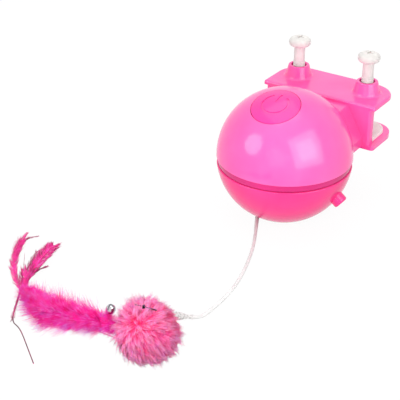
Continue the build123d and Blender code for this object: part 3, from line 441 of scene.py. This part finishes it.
def bent_hair(root, knee, tip, least=0.35):
    """Points of a hair that bends once, kept off the floor."""
    points = [root, root.lerp(knee, 0.7), knee.lerp(tip, 0.5), tip]
    return [above_floor(point, least) for point in points]


def random_direction(rng):
    """A unit vector, as likely one way as any other."""
    while True:
        point = Vector((rng.uniform(-1, 1), rng.uniform(-1, 1), rng.uniform(-1, 1)))
        if 0.05 < point.length < 1:
            return point.normalized()


def smooth_line(points, count):
    """Points, evenly counted, on a curve through the given ones."""
    points = [Vector(point) for point in points]
    line = []
    for step in range(count):
        place = step / (count - 1) * (len(points) - 1)
        index = min(int(place), len(points) - 2)
        share = place - index
        before = points[max(index - 1, 0)]
        here = points[index]
        there = points[index + 1]
        after = points[min(index + 2, len(points) - 1)]
        line.append(
            0.5 * (
                2 * here
                + (there - before) * share
                + (2 * before - 5 * here + 4 * there - after) * share**2
                + (3 * here - before - 3 * there + after) * share**3
            )
        )
    return line


# ---------------------------------------------------------------------------
# Fur ball
# ---------------------------------------------------------------------------

FUR_CENTRE = Vector((19.9, -180.3, 17.0))
FUR_CORE_R = 14.4
FUR_REACH = 18.8
FUR_RAGGED = 4.6  # the longest hairs pass FUR_REACH by this
FUR_HANG = 0.34
WHORL = Vector((-0.05, -0.71, 0.70)).normalized()
WHORL_LIFT = 0.7  # how steeply the hair stands at the whorl
LAID_DOWN = 0.38  # and how much less it does from WHORL_ANGLE on
WHORL_ANGLE = 1.1
SWIRL = 0.3
FLAT_SIDE = Vector((0.36, 0.73, 0.575)).normalized()
FLAT_CORE = 2.4  # the worn side's core and hairs are lower by these
FLAT_REACH = 4.8


def flattened(normal):
    """From 0 to 1: how flat the fur is worn, most on the side where the connector goes in."""
    return max(0, (normal.dot(FLAT_SIDE) - 0.5) / 0.5)


def fur_strands(rng, locks, hairs, length, radius, spread, rise=0.0):
    """Hairs in locks that sweep away from a whorl on the ball's front and hang a little."""
    strands = []
    golden = math.pi * (3 - math.sqrt(5))
    for lock in range(locks):
        height = 1 - 2 * (lock + 0.5) / locks
        flat = math.sqrt(1 - height * height)
        turn = golden * lock
        normal = Vector((flat * math.cos(turn), flat * math.sin(turn), height))
        normal = (normal + random_direction(rng) * 0.06).normalized()
        angle = normal.angle(WHORL)
        away = (normal * math.cos(angle) - WHORL).normalized()
        lift = WHORL_LIFT - LAID_DOWN * min(angle / WHORL_ANGLE, 1) + rise
        swirl = WHORL.cross(normal) * SWIRL
        bend = noise.noise_vector(normal * 2.3) * 0.5
        aim = normal * lift + (away + swirl) * max(1 - lift, 0.1) * 1.5 + bend * 0.8
        aim.z -= FUR_HANG * (1 - max(normal.z, 0))
        aim.normalize()
        lock_length = length * rng.uniform(0.8, 1.2)
        flat_side = flattened(normal)
        core_r = FUR_CORE_R - FLAT_CORE * flat_side
        lock_tip = FUR_CENTRE + normal * core_r + aim * lock_length
        for _ in range(hairs):
            root_normal = (normal + random_direction(rng) * spread).normalized()
            root = FUR_CENTRE + root_normal * core_r
            own_tip = root + aim * lock_length * rng.uniform(0.82, 1.12)
            tip = own_tip.lerp(lock_tip, rng.uniform(0.5, 0.9)) + random_direction(rng) * 0.35
            out = tip - FUR_CENTRE
            most = FUR_REACH + rng.uniform(0, FUR_RAGGED) - FLAT_REACH * flat_side
            if out.length > most:
                tip = FUR_CENTRE + out * (most / out.length)
            knee = root + root_normal * lock_length * 0.36
            points = []
            for share in (0, 0.36, 0.7, 1):
                point = root.lerp(knee, share).lerp(knee.lerp(tip, share), share)
                points.append(above_floor(point))
            strands.append((points, radius * rng.uniform(0.8, 1.2), 1.0))
    return strands


# Fur colour from root to tip: the dark root end is painted shade deep in the fur, the pale tip end
# painted light on its outside.
FUR_SHADE_AND_DYE_STOPS = (
    (0.1, (246, 26, 92)),
    (0.38, (252, 60, 128)),
    (0.62, (255, 94, 160)),
    (0.9, (255, 144, 198)),
)


def fur_material():
    """Dyed fur that differs a little from hair to hair; darker at the roots and paler at the tips,
    which is painted shade deep in the fur and painted light on its outside.
    """
    surface = Surface(
        "fur_pink", Specular_IOR_Level=0.2, Subsurface_Weight=0.6, Subsurface_Scale=GLOW_DEPTH
    )
    height = surface.distance_from(FUR_CENTRE * MM)
    # Share of the way from root to tip: it sets the painted shade at the roots and the painted
    # light at the tips.
    reach = surface.ranged(height, FUR_CORE_R * MM, FUR_REACH * MM)
    hair = surface.random_per_hair()
    lock = surface.noise(5 * MM, detail=2)
    surface.colour(surface.total((reach, 0.6), (hair, 0.24), (lock, 0.16)), *FUR_SHADE_AND_DYE_STOPS)
    surface.roughness(lock, 0.5, 0.65)
    return surface.material


fur_finish = fur_material()


def fur_core():
    """Knitted ball under the hair, uneven as stuffed fabric is."""
    mesh = bmesh.new()
    bmesh.ops.create_icosphere(mesh, subdivisions=5, radius=1)
    for vertex in mesh.verts:
        normal = vertex.co.normalized()
        radius = FUR_CORE_R + 0.9
        radius += 0.9 * noise.noise(normal * 2.2)
        radius += 0.35 * noise.noise(normal * 9)
        radius -= FLAT_CORE * flattened(normal)
        vertex.co = above_floor(FUR_CENTRE + normal * radius) * MM
    core = bpy.data.meshes.new("fur_core")
    mesh.to_mesh(core)
    mesh.free()
    # The core gets the root end of the fur's colour, which is painted shade under the hair.
    return finished(core, fur_finish)


rng = random.Random(11)
noise.seed_set(11)
fur_body = fur_core()
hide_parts("fur_ball")
under_hair = fur_strands(rng, locks=900, hairs=11, length=4.8, radius=0.15, spread=0.12)
fibres("fur_under", under_hair, fur_finish)
long_hair = fur_strands(rng, locks=520, hairs=22, length=9.2, radius=0.11, spread=0.13)
fibres("fur_long", long_hair, fur_finish)
spikes = fur_strands(rng, locks=240, hairs=16, length=10.0, radius=0.09, spread=0.08, rise=0.3)
fibres("fur_spikes", spikes, fur_finish)


# ---------------------------------------------------------------------------
# Feather boa
# ---------------------------------------------------------------------------

# A point on the boa's middle line, and its radius there.
BOA_STATIONS = [
    (3.2, -180.4, 12.0, 3.5),
    (-5.5, -180.0, 10.5, 4.8),
    (-18.6, -180.5, 8.4, 6.4),
    (-30.0, -184.6, 8.3, 7.8),
    (-42.0, -186.6, 8.5, 8.2),
    (-54.0, -184.6, 7.6, 7.3),
    (-66.0, -179.4, 5.8, 5.0),
    (-75.5, -174.4, 3.8, 2.4),
    (-79.5, -172.4, 2.8, 1.2),
]
BOA_CORE = 0.44  # share of that radius that the dense middle fills


def boa_line(count):
    """Middle points, radii and directions along the boa."""
    middles = smooth_line([station[:3] for station in BOA_STATIONS], count)
    widths = smooth_line([(station[3], 0, 0) for station in BOA_STATIONS], count)
    line = []
    for index, middle in enumerate(middles):
        along = middles[min(index + 1, count - 1)] - middles[max(index - 1, 0)]
        line.append((middle, widths[index].x, along.normalized()))
    return line


def boa_frame(along):
    """The level direction across the boa and the one square to both."""
    side = along.cross(Vector((0, 0, 1))).normalized()
    return side, side.cross(along)


def boa_core():
    """The dense middle of the down, as one lumpy closed tube."""
    line = boa_line(90)
    around = 32
    vertices = []
    for middle, radius, along in line:
        side, up = boa_frame(along)
        for turn in range(around):
            angle = 2 * math.pi * turn / around
            out = side * math.cos(angle) + up * math.sin(angle)
            lump = 1 + 0.3 * noise.noise((middle + out * 4) * 0.35)
            vertices.append(above_floor(middle + out * radius * BOA_CORE * lump) * MM)
    mesh = new_mesh("boa_core", vertices, tube_faces(len(line), around))
    return finished(mesh, boa_finish)


def boa_strands(rng, tufts, barbs, reach, radius, spread):
    """Down in tufts that stand out all round and lean towards the boa's tail."""
    line = boa_line(200)
    strands = []
    for tuft in range(tufts):
        place = rng.random() ** 0.9
        middle, width, along = line[int(place * (len(line) - 1))]
        side, up = boa_frame(along)
        angle = rng.uniform(0, 2 * math.pi)
        out = side * math.cos(angle) + up * math.sin(angle)
        lean = along * rng.uniform(0.3, 1.5) + noise.noise_vector(middle * 0.3) * 0.6
        aim = (out + lean).normalized()
        end_taper = min(1, 0.25 + 5 * (1 - place))
        tuft_length = width * reach * rng.uniform(0.6, 1.3) * end_taper + 0.8
        root_centre = middle + out * width * BOA_CORE * 0.75
        for _ in range(barbs):
            root = root_centre + random_direction(rng) * 0.7
            scatter = random_direction(rng)
            own_aim = (aim + scatter * spread).normalized()
            tip = root + own_aim * tuft_length * rng.uniform(0.6, 1.1)
            knee = root.lerp(tip, 0.5) + out * tuft_length * 0.12 + scatter * tuft_length * 0.06
            strands.append((bent_hair(root, knee, tip), radius * rng.uniform(0.6, 1.2), 1.0))
    return strands


BOA_STOPS = (
    (0.34, (240, 4, 104)),
    (0.46, (255, 18, 144)),
    (0.6, (255, 50, 180)),
    (0.8, (244, 126, 224)),
)


def boa_material():
    """Dyed down: the colour differs in patches and from hair to hair. Near the floor it is drawn
    paler, which is painted light.
    """
    surface = Surface(
        "boa_pink", Specular_IOR_Level=0.15, Subsurface_Weight=0.5, Subsurface_Scale=GLOW_DEPTH
    )
    hair = surface.random_per_hair()
    patch = surface.noise(5 * MM)
    height = surface.add("ShaderNodeSeparateXYZ")
    surface.link(surface.coords.outputs["Object"], height.inputs["Vector"])
    # Painted light: down near the floor is drawn paler.
    low = surface.ranged(height.outputs["Z"], 0, 9 * MM, 1, 0)
    surface.colour(surface.total((patch, 0.8), (hair, 0.3), (low, 0.12)), *BOA_STOPS)
    surface.roughness(patch, 0.6, 0.8)
    return surface.material


boa_finish = boa_material()
boa = boa_core()
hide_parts("feather_boa")
down = boa_strands(rng, tufts=600, barbs=20, reach=0.78, radius=0.15, spread=0.22)
fibres("boa_down", down, boa_finish)
wisps = boa_strands(rng, tufts=480, barbs=24, reach=1.5, radius=0.065, spread=0.3)
fibres("boa_wisps", wisps, boa_finish)


# ---------------------------------------------------------------------------
# Feathers
# ---------------------------------------------------------------------------

QUILL_POINTS = 60


def feather(
    name, points, widths, barbs, rng, finish, quill=0.32, ragged=0.35, slope=1.2, barb_r=0.09
):
    """A feather: a tapered quill with barbs on both sides, gathered in ragged groups.

    points are the quill's line and widths the vane's half width at each. barbs is their number
    on a side, slope how far they lean towards the tip, and quill and barb_r are radii.
    """
    line = smooth_line(points, QUILL_POINTS)
    vane = smooth_line([(width, 0, 0) for width in widths], QUILL_POINTS)
    strands = [(line[::3] + [line[-1]], quill, 1.0)]
    for side in (-1, 1):
        group_left = 0
        for barb in range(barbs):
            place = (barb + rng.random()) / barbs * (len(line) - 3)
            index = int(place)
            along = (line[index + 2] - line[index]).normalized()
            across = along.cross(Vector((0, 0, 1))).normalized() * side
            if group_left == 0:
                group_left = rng.randint(4, 11)
                group_lean = rng.uniform(-ragged, ragged)
                group_reach = rng.uniform(1 - ragged, 1.1)
                group_lift = rng.uniform(-0.04, 0.3)
            group_left -= 1
            reach = max(vane[index].x, 0.15) * group_reach * rng.uniform(0.85, 1.1)
            forward = slope * (1 + group_lean * 0.6)
            root = line[index].lerp(line[index + 1], place - index)
            lift = Vector((0, 0, group_lift * reach))
            tip = root + across * reach + along * reach * forward * 1.3 + lift
            knee = root + across * reach * 0.6 + along * reach * forward * 0.4 + lift * 0.4
            strands.append((bent_hair(root, knee, tip, least=0.2), barb_r, 0.7))
    return fibres(name, strands, finish)


def feather_material(name, *stops):
    """Dyed barbs: the colour differs in patches and from barb to barb."""
    surface = Surface(name, Specular_IOR_Level=0.3)
    hair = surface.random_per_hair()
    patch = surface.noise(6 * MM)
    surface.colour(surface.total((patch, 0.6), (hair, 0.5)), *stops)
    surface.roughness(patch, 0.42, 0.6)
    return surface.material


feather_finish = feather_material(
    "feather_pink",
    (0.3, (130, 6, 72)),
    (0.44, (232, 14, 122)),
    (0.66, (248, 44, 160)),
    (0.9, (232, 116, 206)),
)
dark_finish = feather_material(
    "feather_dark",
    (0.25, (70, 8, 36)),
    (0.5, (140, 16, 74)),
    (0.85, (206, 50, 130)),
)
quill_finish = matt("quill_pale", (206, 138, 150), (226, 166, 176), rough=(0.3, 0.45))

curved = feather(
    "feather_curved_vane",
    [
        (-79.7, -173.6, 3.0),
        (-89.8, -166.9, 2.6),
        (-99.7, -158.0, 3.0),
        (-107.3, -148.0, 3.2),
        (-113.9, -137.6, 3.0),
        (-117.6, -130.2, 2.6),
    ],
    [2.0, 2.8, 3.0, 2.8, 2.8, 2.0],
    barbs=250, rng=rng, finish=feather_finish, quill=0.5, ragged=0.3, slope=1.9, barb_r=0.12,
)
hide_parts("feather_curved")
feather(
    "feather_curved_fringe",
    [(-103.0, -154.0, 3.2), (-109.0, -145.6, 3.4), (-114.6, -136.4, 3.2), (-118.4, -128.6, 2.8)],
    [1.6, 3.4, 4.0, 3.0],
    barbs=150, rng=rng, finish=feather_finish, quill=0.2, ragged=0.4, slope=1.5, barb_r=0.05,
)
wide = feather(
    "feather_wide_vane",
    [
        (-80.5, -171.0, 3.4),
        (-84.0, -161.4, 4.6),
        (-87.6, -150.9, 5.0),
        (-90.8, -141.0, 5.0),
        (-93.6, -131.5, 4.6),
        (-95.4, -124.5, 4.2),
    ],
    [1.4, 3.0, 4.6, 5.2, 4.2, 1.4],
    barbs=640, rng=rng, finish=feather_finish, quill=0.4, ragged=0.1, slope=1.6, barb_r=0.1,
)
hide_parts("feather_wide")
slender = feather(
    "feather_slender_vane",
    [(-83.4, -166.8, 3.4), (-89.5, -157.0, 4.6), (-94.2, -147.0, 5.0), (-98.6, -137.0, 5.0)],
    [0.8, 1.6, 2.0, 1.0],
    barbs=90, rng=rng, finish=dark_finish, quill=0.45, ragged=0.5, slope=1.8, barb_r=0.1,
)
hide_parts("feather_slender")
trailing = feather(
    "feather_trailing_vane",
    [
        (-79.6, -173.6, 3.0),
        (-75.3, -181.1, 2.8),
        (-71.0, -188.5, 2.2),
        (-66.9, -194.9, 1.8),
        (-63.6, -199.2, 1.6),
    ],
    [0.5, 0.9, 1.4, 1.6, 1.2],
    barbs=80, rng=rng, finish=dark_finish, quill=0.75, ragged=0.5, barb_r=0.08,
)
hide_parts("feather_trailing")
nurbs_tube(
    "feather_trailing_quill",
    [
        (-66.4, -195.8, 1.9),
        (-62.9, -200.2, 1.6),
        (-57.5, -201.4, 1.2),
        (-51.6, -204.7, 1.0),
        (-39.6, -213.5, 0.8),
        (-27.7, -222.2, 0.6),
    ],
    0.3 * MM,
    dark_finish,
)
nurbs_tube(
    "boa_quill",
    [
        (-22.0, -178.6, 3.0),
        (-17.0, -179.6, 1.4),
        (-9.0, -179.2, 1.0),
        (1.0, -179.0, 1.6),
        (8.0, -178.0, 5.0),
    ],
    0.3 * MM,
    quill_finish,
)
feather(
    "feather_fork",
    [(-116.6, -132.4, 2.4), (-116.4, -125.6, 2.6), (-112.8, -119.2, 2.4)],
    [1.2, 1.2, 0.6],
    barbs=44, rng=rng, finish=dark_finish, quill=0.3, slope=1.6,
)
feather(
    "feather_tip",
    [(-117.0, -131.4, 2.6), (-120.2, -125.0, 2.4), (-122.3, -119.5, 2.0)],
    [1.8, 1.6, 0.8],
    barbs=60, rng=rng, finish=feather_finish, slope=1.6,
)
feather(
    "feather_short",
    [(-82.6, -164.0, 4.4), (-83.5, -154.4, 5.0), (-81.2, -147.0, 5.0)],
    [1.6, 1.8, 0.8],
    barbs=70, rng=rng, finish=dark_finish, ragged=0.6, slope=1.7, barb_r=0.1,
)
feather(
    "feather_inner",
    [(-84.0, -167.4, 4.0), (-87.8, -162.6, 4.6), (-96.8, -151.5, 5.0), (-103.6, -143.0, 5.0)],
    [0.5, 0.4, 0.3, 0.1],
    barbs=24, rng=rng, finish=dark_finish, quill=0.2, ragged=0.6, slope=2.0,
)
feather(
    "feather_base",
    [(-76.4, -174.6, 4.0), (-80.6, -169.4, 4.6), (-84.8, -163.4, 4.8), (-88.0, -158.0, 4.8)],
    [3.0, 3.8, 4.2, 2.6],
    barbs=360, rng=rng, finish=feather_finish, quill=0.6, ragged=0.5, slope=2.2, barb_r=0.15,
)


# ---------------------------------------------------------------------------
# Pad on the jaw
# ---------------------------------------------------------------------------

PAD_CORNER_R = 11.6 * MM
PAD_CORNER_STEPS = 12
PAD_EDGE = 0.6 * MM


def pad_outline(low, high, inset):
    """Plan of the pad: square at the front, rounded behind."""
    radius = PAD_CORNER_R - inset
    points = [(low.x + inset, low.y + inset), (high.x - inset, low.y + inset)]
    for corner, start in (((high.x, high.y), 0), ((low.x, high.y), 90)):
        way = 1 if corner[0] > 0 else -1
        centre_x = corner[0] - way * PAD_CORNER_R
        centre_y = corner[1] - PAD_CORNER_R
        for step in range(PAD_CORNER_STEPS + 1):
            angle = math.radians(start + step * 90 / PAD_CORNER_STEPS)
            x = centre_x + radius * math.cos(angle)
            y = centre_y + radius * math.sin(angle)
            points.append((x, y))
    return points


def jaw_foam():
    """Foam pad with soft top edges."""
    low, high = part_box("jaw_pad")
    levels = [
        (low.z, 0),
        (high.z - PAD_EDGE, 0),
        (high.z - PAD_EDGE * 0.3, PAD_EDGE * 0.3),
        (high.z, PAD_EDGE),
    ]
    vertices = []
    for height, inset in levels:
        outline = pad_outline(low, high, inset)
        vertices += [(x, y, height) for x, y in outline]
    mesh = new_mesh("jaw_foam", vertices, tube_faces(len(levels), len(outline)))
    return finished(mesh, materials["clamp_pad"], body="housing", smooth=False)


foam = jaw_foam()
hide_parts("jaw_pad")


# ---------------------------------------------------------------------------
# Floor, world and lights
# ---------------------------------------------------------------------------

FLOOR_SIZE = 8
FLOOR_DROP = 0.2 * MM
FLOOR_GREY = 0.52
FLOOR_GLOW = 1.05
FLOOR_GLOW_SHARE = 0.9
WORLD_LIGHT = 0.75
RIGHT_AIM = (0.03, -0.025, 0.065)
RIGHT_WAY = (0.837, -0.271, 0.475)
LEFT_AIM = (0.0, -0.039, 0.066)
LEFT_WAY = (-0.505, -0.734, 0.453)
TOP_AIM = (0.0, 0.02, 0.08)
TOP_WAY = (-0.15, 0.1, 0.98)
BACK_AIM = (0.0, -0.06, 0.04)
BACK_WAY = (-0.3, 0.82, 0.49)
TOY_AIM = (0.0, -0.18, 0.015)
TOY_WAY = (0.38, -0.69, 0.62)


def seen_directly(tree):
    """1 for rays from the camera, from gloss and through clear pieces, otherwise 0."""
    path = tree.nodes.new("ShaderNodeLightPath")
    result = path.outputs["Is Camera Ray"]
    for ray in ("Is Glossy Ray", "Is Transmission Ray"):
        either = tree.nodes.new("ShaderNodeMath")
        either.operation = "MAXIMUM"
        tree.links.new(result, either.inputs[0])
        tree.links.new(path.outputs[ray], either.inputs[1])
        result = either.outputs["Value"]
    return result


def white_floor():
    """A floor that looks white and still takes the object's shadow, but lights it as grey does."""
    half = FLOOR_SIZE / 2
    corners = [(-half, -half, 0), (half, -half, 0), (half, half, 0), (-half, half, 0)]
    mesh = new_mesh("floor", corners, [(0, 1, 2, 3)])
    material = bpy.data.materials.new("floor_white")
    material.use_nodes = True
    tree = material.node_tree
    diffuse = tree.nodes["Principled BSDF"]
    diffuse.inputs["Base Color"].default_value = (FLOOR_GREY, FLOOR_GREY, FLOOR_GREY, 1)
    diffuse.inputs["Roughness"].default_value = 0.9
    diffuse.inputs["Specular IOR Level"].default_value = 0.0
    glow = tree.nodes.new("ShaderNodeEmission")
    glow.inputs["Strength"].default_value = FLOOR_GLOW
    mix = tree.nodes.new("ShaderNodeMixShader")
    share = tree.nodes.new("ShaderNodeMath")
    share.operation = "MULTIPLY"
    share.inputs[1].default_value = FLOOR_GLOW_SHARE
    tree.links.new(seen_directly(tree), share.inputs[0])
    tree.links.new(share.outputs["Value"], mix.inputs["Fac"])
    tree.links.new(diffuse.outputs["BSDF"], mix.inputs[1])
    tree.links.new(glow.outputs["Emission"], mix.inputs[2])
    tree.links.new(mix.outputs["Shader"], tree.nodes["Material Output"].inputs["Surface"])
    mesh.materials.append(material)
    floor = placed("floor", mesh)
    floor.location.z = -FLOOR_DROP


def white_world():
    """A world that looks white and lights the object a little less."""
    world = bpy.data.worlds.new("studio")
    bpy.context.scene.world = world
    world.use_nodes = True
    tree = world.node_tree
    background = tree.nodes["Background"]
    background.inputs["Color"].default_value = (1, 1, 1, 1)
    strength = tree.nodes.new("ShaderNodeMapRange")
    strength.inputs["To Min"].default_value = WORLD_LIGHT
    strength.inputs["To Max"].default_value = 1.0
    tree.links.new(seen_directly(tree), strength.inputs["Value"])
    tree.links.new(strength.outputs["Result"], background.inputs["Strength"])


def soft_box(
    name, aim, direction, distance, size, radiance, shape="SQUARE", lights=True, mirrors=True
):
    """Area light seen from aim in a direction, turned towards it.

    One that only mirrors in gloss, as the wide face of a soft box does, has lights=False,
    and one whose mirror image is kept out of the gloss has mirrors=False.
    """
    light = bpy.data.lights.new(name, "AREA")
    light.shape = shape
    light.size = size
    area = size * size if shape == "SQUARE" else math.pi * size * size / 4
    light.energy = radiance * math.pi * area
    lamp = placed(name, light)
    way = Vector(direction).normalized()
    lamp.location = Vector(aim) + way * distance
    lamp.rotation_euler = (-way).to_track_quat("-Z", "Y").to_euler()
    lamp.visible_diffuse = lights
    lamp.visible_glossy = mirrors


white_world()
white_floor()
soft_box("key", RIGHT_AIM, RIGHT_WAY, distance=0.9, size=0.5, radiance=2.8)
soft_box("key_face", RIGHT_AIM, RIGHT_WAY, distance=0.95, size=0.95, radiance=3.3, lights=False)
soft_box(
    "fill_face", LEFT_AIM, LEFT_WAY,
    distance=0.95, size=0.54, radiance=4.4, shape="DISK", lights=False,
)
soft_box("top", TOP_AIM, TOP_WAY, distance=1.0, size=0.8, radiance=1.2)
soft_box("back", BACK_AIM, BACK_WAY, distance=1.0, size=0.7, radiance=2.0, mirrors=False)
soft_box(
    "toy_fill", TOY_AIM, TOY_WAY,
    distance=0.25, size=0.2, radiance=9.8, shape="DISK", mirrors=False,
)

bpy.context.scene.view_settings.view_transform = "Standard"
